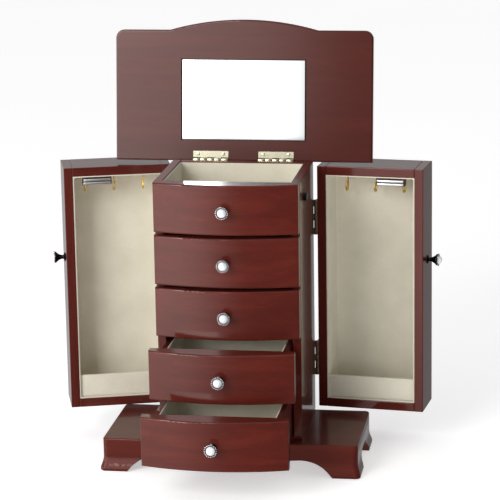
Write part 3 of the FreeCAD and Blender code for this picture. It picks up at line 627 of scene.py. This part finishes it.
class CHEST_OT_linings(bpy.types.Operator):
    """Model the fabric linings of the tray, the drawers and the wings"""
    bl_idname = "chest.linings"
    bl_label = "Linings"

    def execute(self, context):
        size = context.scene.chest_linings
        fabric = brushed_lining()
        up = Vector((0, 0, 1))
        inward = Vector((1, 0, 0))
        mouths = {"top_tray_lining": up, "left_wing_lining": inward, "right_wing_lining": -inward}
        mouths.update({f"{drawer}_lining": up for drawer in DRAWERS})
        for node, mouth in mouths.items():
            low, high = closed_box(node)
            made = hollowed(low, high, mouth, size.wall, size.corner)
            wrinkled(made, node, size.slack, size.patch)
            made.data.transform(rest_turn(BODY[node]))
            settle(smoothed(made), f"{node}_fabric", BODY[node], fabric, replaced=(node,))
        for wing in WINGS:
            self.pocket(f"{wing}_pocket", size, fabric)
        return {"FINISHED"}

    def pocket(self, node, size, fabric):
        """A fabric-covered pocket front with a folded hem along its top."""
        low, high = closed_box(node)
        made = block(low, high)
        edit("FACE")
        bpy.ops.mesh.select_all(action="SELECT")
        bpy.ops.mesh.bisect(plane_co=(0, 0, high.z - size.hem), plane_no=(0, 0, 1))
        bpy.ops.mesh.select_mode(type="EDGE")
        bpy.ops.mesh.bevel(offset=size.crease, segments=2, profile=0.2, affect="EDGES")
        soften_all(size.pocket_edge, 3, 60)
        leave()
        wrinkled(made, node, size.slack, size.pocket_patch)
        made.data.transform(rest_turn(BODY[node]))
        settle(smoothed(made), f"{node}_fabric", BODY[node], fabric, replaced=(node,))


# ---------------------------------------------------------------- hinges
KNUCKLES = 5


def screw_head():
    """A countersunk head with a cross recess, its face at height 0."""
    size = bpy.context.scene.chest_fittings
    radius = size.screw_radius
    profile = [
        (radius * 0.5, -0.85 * MM), (radius * 0.97, -0.05 * MM), (radius * 0.9, 0.03 * MM),
        (radius * 0.4, 0.07 * MM),
    ]
    head = lathe(profile, 24)
    for wide, narrow in ((1.1, 0.28), (0.28, 1.1)):
        cutter = block(Vector((-wide, -narrow, -0.55)) * MM, Vector((wide, narrow, 0.5)) * MM)
        cut = head.modifiers.new("Recess", "BOOLEAN")
        cut.object = cutter
        cut.solver = "EXACT"
        bpy.context.view_layer.objects.active = head
        bpy.ops.object.modifier_apply(modifier="Recess")
        drop(cutter)
    return head


def hinge_leaf(numbers):
    """One leaf with its knuckles and screws, on the +X side of the pin, which is the Z axis; closed."""
    size = bpy.context.scene.chest_fittings
    near = size.leaf_gap / 2
    far = near + size.leaf_thick
    setback = size.barrel_radius + size.barrel_gap
    half = size.hinge_length / 2
    plate = block(Vector((near, -setback - size.leaf_width, -half)), Vector((far, -setback, half)))
    edit("EDGE")
    outer = -setback - size.leaf_width + 0.1 * MM
    pick("edges", lambda edge: abs(run_of(edge).x) > 0.9 and edge.verts[0].co.y < outer)
    bpy.ops.mesh.bevel(offset=size.leaf_corner, segments=3, affect="EDGES")
    soften_all(size.leaf_edge, 1)
    leave()
    parts = [plate]
    pitch = size.hinge_length / KNUCKLES
    for number in numbers:
        low = -half + pitch * number + size.knuckle_gap / 2
        high = low + pitch - size.knuckle_gap
        parts.append(block(Vector((near, -setback - 0.2 * MM, low)), Vector((far, 0, high))))
        bpy.ops.object.select_all(action="DESELECT")
        bpy.ops.mesh.primitive_cylinder_add(
            vertices=28, radius=size.barrel_radius, depth=high - low, location=(0, 0, (low + high) / 2)
        )
        bpy.ops.object.transform_apply(location=True, rotation=True, scale=True)
        edit("FACE")
        pick("faces", lambda face: abs(face.normal.z) > 0.9)
        bpy.ops.mesh.inset(thickness=size.barrel_radius - size.pin_hole)
        bpy.ops.mesh.bridge_edge_loops()
        bpy.ops.mesh.select_mode(type="EDGE")
        outside = size.barrel_radius - 0.1 * MM
        pick("edges", lambda edge: abs(run_of(edge).z) < 0.5 and edge.verts[0].co.xy.length > outside)
        bpy.ops.mesh.bevel(offset=size.knuckle_edge, segments=2, affect="EDGES")
        parts.append(leave())
    master = screw_head()
    facing = Matrix.Rotation(math.radians(-90), 4, "Y")
    for sign in (-1, 1):
        spot = Vector((near, -setback - size.screw_inset, size.screw_spacing / 2 * sign))
        parts.append(copy_of(master, Matrix.Translation(spot) @ facing))
    drop(master)
    return smoothed(joined(parts), 30)


HALF_TURN = Matrix.Rotation(math.radians(180), 4, "Y")
ON_THE_BACK = Matrix.Rotation(math.radians(-90), 4, "Z")
MOVING_TURN = {
    "lid": Matrix.Rotation(math.radians(-90), 4, "Y"),
    "left_wing": ON_THE_BACK,
    "right_wing": HALF_TURN @ ON_THE_BACK,
}


def hinge_middles(body):
    """The middles of a lid's or wing's two hinge pins."""
    pin = pin_of(body)
    along = 0 if body == "lid" else 2
    low, high = closed_box(f"{body}_hinge_leaves")
    half = bpy.context.scene.chest_fittings.hinge_length / 2
    middles = []
    for reach in (low[along] + half, high[along] - half):
        middle = pin.copy()
        middle[along] = reach
        middles.append(middle)
    return middles


class CHEST_OT_hinges(bpy.types.Operator):
    """Model the butt hinges' leaves, knuckles and screws"""
    bl_idname = "chest.hinges"
    bl_label = "Hinges"

    def execute(self, context):
        brass = worn_metal("polished_brass", context.scene.chest_finishes.brass, 0.24, 0.004)
        gilt = worn_metal("gilt_wire", context.scene.chest_finishes.gilt, 0.4, 0.002)
        finish_nodes(("hinge_pins",), brass)
        finish_nodes(("left_wing_hooks", "right_wing_hooks"), gilt)
        moving_leaf, fixed_leaf = hinge_leaf((1, 3)), hinge_leaf((0, 2, 4))
        fixed = []
        for body, turn in MOVING_TURN.items():
            middles = [Matrix.Translation(middle) for middle in hinge_middles(body)]
            moving = [copy_of(moving_leaf, rest_turn(body) @ middle @ turn) for middle in middles]
            fixed += [copy_of(fixed_leaf, middle @ HALF_TURN @ turn) for middle in middles]
            node = f"{body}_hinge_leaves"
            settle(joined(moving), f"{body}_butt_hinges", body, brass, replaced=(node,))
        node = "cabinet_hinge_leaves"
        settle(joined(fixed), "cabinet_butt_hinges", "cabinet", brass, replaced=(node,))
        drop(moving_leaf, fixed_leaf)
        return {"FINISHED"}


# ---------------------------------------------------------------- catches and mirror
class CHEST_OT_catches(bpy.types.Operator):
    """Model the magnetic catches under the wings' ceilings"""
    bl_idname = "chest.catches"
    bl_label = "Catches"

    def execute(self, context):
        finish = context.scene.chest_finishes
        steel = worn_metal("zinc_plated_steel", finish.steel, 0.4, 0.003)
        plastic = moulded_plastic()
        finish_nodes(("strike_discs",), worn_metal("blued_steel", finish.setting, 0.35, 0.003))
        for wing in WINGS:
            self.housing(f"{wing}_catch_housing", plastic)
            self.plates(f"{wing}_catch_plates", steel)
        return {"FINISHED"}

    def housing(self, node, plastic):
        """The housing, with an ear at each end that holds the plates."""
        size = bpy.context.scene.chest_fittings
        ear = size.ear_length
        low, high = closed_box(node)
        made = block(low, high)
        edit("FACE")
        for place in (low.y + ear, high.y - ear):
            bpy.ops.mesh.select_all(action="SELECT")
            bpy.ops.mesh.bisect(plane_co=(0, place, 0), plane_no=(0, 1, 0))
        bpy.ops.mesh.select_mode(type="FACE")
        middle = (low + high) / 2
        towards = Vector((-1 if middle.x > 0 else 1, 0, 0))
        pick("faces", lambda face: face.normal.dot(towards) > 0.9
             and abs(face.calc_center_median().y - middle.y) < ear)
        bpy.ops.mesh.inset(thickness=size.housing_wall)
        bpy.ops.mesh.extrude_region_move(TRANSFORM_OT_translate={"value": -towards * size.housing_recess})
        soften_all(size.housing_edge, 2, 60)
        leave()
        made.data.transform(rest_turn(BODY[node]))
        settle(smoothed(made), f"{node}_moulding", BODY[node], plastic, replaced=(node,))

    def plates(self, node, steel):
        """Two bright pole plates, one over the other."""
        size = bpy.context.scene.chest_fittings
        low, high = closed_box(node)
        parts = []
        for bottom in (low.z, low.z + size.plate_tall + size.plate_gap):
            block(Vector((low.x, low.y, bottom)), Vector((high.x, high.y, bottom + size.plate_tall)))
            edit("EDGE")
            soften_all(size.plate_edge, 4, 60)
            parts.append(leave())
        made = joined(parts)
        made.data.transform(rest_turn(BODY[node]))
        settle(smoothed(made), f"{node}_pressings", BODY[node], steel, replaced=(node,))


class CHEST_OT_mirror(bpy.types.Operator):
    """Silver the mirror in the lid"""
    bl_idname = "chest.mirror"
    bl_label = "Mirror"

    def execute(self, context):
        finish_nodes(("lid_mirror",), silvered_glass())
        return {"FINISHED"}


# ---------------------------------------------------------------- stage
# Each softbox's name, place, width, power in watts and whether the lacquer reflects it.
SOFTBOXES = (
    ("front_softbox", (-0.9, -1.9, 1.2), 1.0, 30, True),
    ("right_fill", (1.0, -1.8, 0.25), 1.2, 7, False),
)
CHEST_MIDDLE = Vector((0, 0, 0.15))
FLOOR_WIDTH = 30
FLOOR_DROP = 0.2 * MM


class CHEST_OT_stage(bpy.types.Operator):
    """Lay the floor and set up the soft studio light and the camera"""
    bl_idname = "chest.stage"
    bl_label = "Stage"

    def execute(self, context):
        self.floor()
        self.surroundings(context.scene)
        for softbox in SOFTBOXES:
            self.softbox(*softbox)
        self.camera(context.scene)
        return {"FINISHED"}

    def floor(self):
        bpy.ops.object.select_all(action="DESELECT")
        bpy.ops.mesh.primitive_plane_add(size=FLOOR_WIDTH, location=(0, 0, -FLOOR_DROP))
        floor = bpy.context.object
        bpy.ops.object.transform_apply(location=True, rotation=True, scale=True)
        floor.name = "studio_floor"
        floor.data.materials.append(studio_floor())
        floor.visible_glossy = False

    def surroundings(self, scene):
        """A studio that is bright behind and to the left and dark to the right of the camera."""
        world = bpy.data.worlds.new("studio")
        scene.world = world
        world.use_nodes = True
        tree = world.node_tree
        background = tree.nodes["Background"]
        background.inputs["Color"].default_value = (1, 1, 1, 1)
        direction = add(tree, "ShaderNodeTexCoord").outputs["Generated"]
        axes = add(tree, "ShaderNodeSeparateXYZ", Vector=direction)
        x, y, z = (axes.outputs[axis] for axis in "XYZ")

        def step(value, start, end, low, high):
            limits = {"From Min": start, "From Max": end, "To Min": low, "To Max": high}
            return add(
                tree, "ShaderNodeMapRange", {"interpolation_type": "SMOOTHSTEP", **limits}, Value=value
            ).outputs["Result"]

        def both(kind, first, second):
            made = add(tree, "ShaderNodeMath", {"operation": kind})
            tree.links.new(first, made.inputs[0])
            tree.links.new(second, made.inputs[1])
            return made.outputs["Value"]

        # x, y and z are a direction's parts. A tall white card stands to the left of the camera.
        card = both("ADD", step(x, -0.11, -0.145, 0, 1.65), step(x, -0.13, -0.26, 0, 1.35))
        card = both("MULTIPLY", card, step(z, -0.16, -0.06, 0, 1))
        card = both("MULTIPLY", card, step(z, 0.4, 0.2, 0, 1))
        # Its lower right corner is cut away, so that the foot of the open lid stays dark.
        corner = both("MULTIPLY", step(z, 0.058, 0.0535, 0, 1), step(x, -0.19, -0.16, 0, 1))
        card = both("MULTIPLY", card, step(corner, 0, 1, 1, 0))
        # The floor in front of the card is lit by it, less so close to the chest.
        ground = both("MULTIPLY", step(x, 0.06, -0.6, 0, 1.8), step(z, -0.06, -0.16, 0, 1))
        ground = both("MULTIPLY", ground, step(z, -0.33, -0.24, 0.3, 1))
        front = both("MULTIPLY", both("ADD", card, ground), step(y, 0.1, -0.2, 0, 1))
        # The backdrop is grey-white behind the chest and falls off to the right.
        backdrop = both("MULTIPLY", step(y, 0.0, 0.3, 0, 0.32), step(x, 0.5, -0.1, 0.25, 1))
        backdrop = both("MULTIPLY", backdrop, step(z, 0.3, 0.2, 0.2, 1))
        overhead = step(z, 0.3, 0.8, 0, 0.45)
        total = both("ADD", both("ADD", front, backdrop), overhead)
        level = both("ADD", total, step(x, 0.5, -0.5, 0.06, 0.2))
        tree.links.new(level, background.inputs["Strength"])

    def softbox(self, name, place, size, power, reflected):
        lamp = bpy.data.lights.new(name, "AREA")
        lamp.shape = "SQUARE"
        lamp.size = size
        lamp.energy = power
        light = bpy.data.objects.new(name, lamp)
        light.location = place
        aim = CHEST_MIDDLE - Vector(place)
        light.rotation_euler = aim.to_track_quat("-Z", "Y").to_euler()
        light.visible_glossy = reflected
        bpy.context.collection.objects.link(light)

    def camera(self, scene):
        size = scene.chest_stage
        turn = (
            Matrix.Rotation(math.radians(size.azimuth), 4, "Z")
            @ Matrix.Rotation(math.radians(90 - size.pitch), 4, "X")
            @ Matrix.Rotation(math.radians(-size.roll), 4, "Z")
        )
        aim = Vector((size.aim_x, 0, size.aim_z))
        back = turn @ Vector((0, 0, size.distance))
        data = bpy.data.cameras.new("camera")
        data.lens = size.lens
        data.sensor_width = 36
        data.dof.use_dof = False
        camera = bpy.data.objects.new("camera", data)
        camera.matrix_world = Matrix.Translation(aim + back) @ turn
        bpy.context.collection.objects.link(camera)
        scene.camera = camera
        scene.view_settings.view_transform = "Standard"


# ---------------------------------------------------------------- add-on
OPERATORS = (
    CHEST_OT_boards, CHEST_OT_knobs, CHEST_OT_linings, CHEST_OT_hinges, CHEST_OT_catches, CHEST_OT_mirror,
    CHEST_OT_stage,
)


class CHEST_PT_panel(bpy.types.Panel):
    """The chest's pieces, in the order in which they are made"""
    bl_idname = "CHEST_PT_panel"
    bl_label = "Jewellery chest"
    bl_space_type = "VIEW_3D"
    bl_region_type = "UI"
    bl_category = "Chest"

    def draw(self, context):
        for operator in OPERATORS:
            self.layout.operator(operator.bl_idname)
        for name, group in GROUPS.items():
            box = self.layout.box()
            for prop in group.__annotations__:
                box.prop(getattr(context.scene, name), prop)


def register():
    for group in (*GROUPS.values(), *OPERATORS, CHEST_PT_panel):
        bpy.utils.register_class(group)
    for name, group in GROUPS.items():
        setattr(bpy.types.Scene, name, PointerProperty(type=group))


def unregister():
    for name in GROUPS:
        delattr(bpy.types.Scene, name)
    for group in reversed((*GROUPS.values(), *OPERATORS, CHEST_PT_panel)):
        bpy.utils.unregister_class(group)


def main():
    register()
    for operator in OPERATORS:
        family, action = operator.bl_idname.split(".")
        getattr(getattr(bpy.ops, family), action)()


if __name__ == "__main__":
    main()
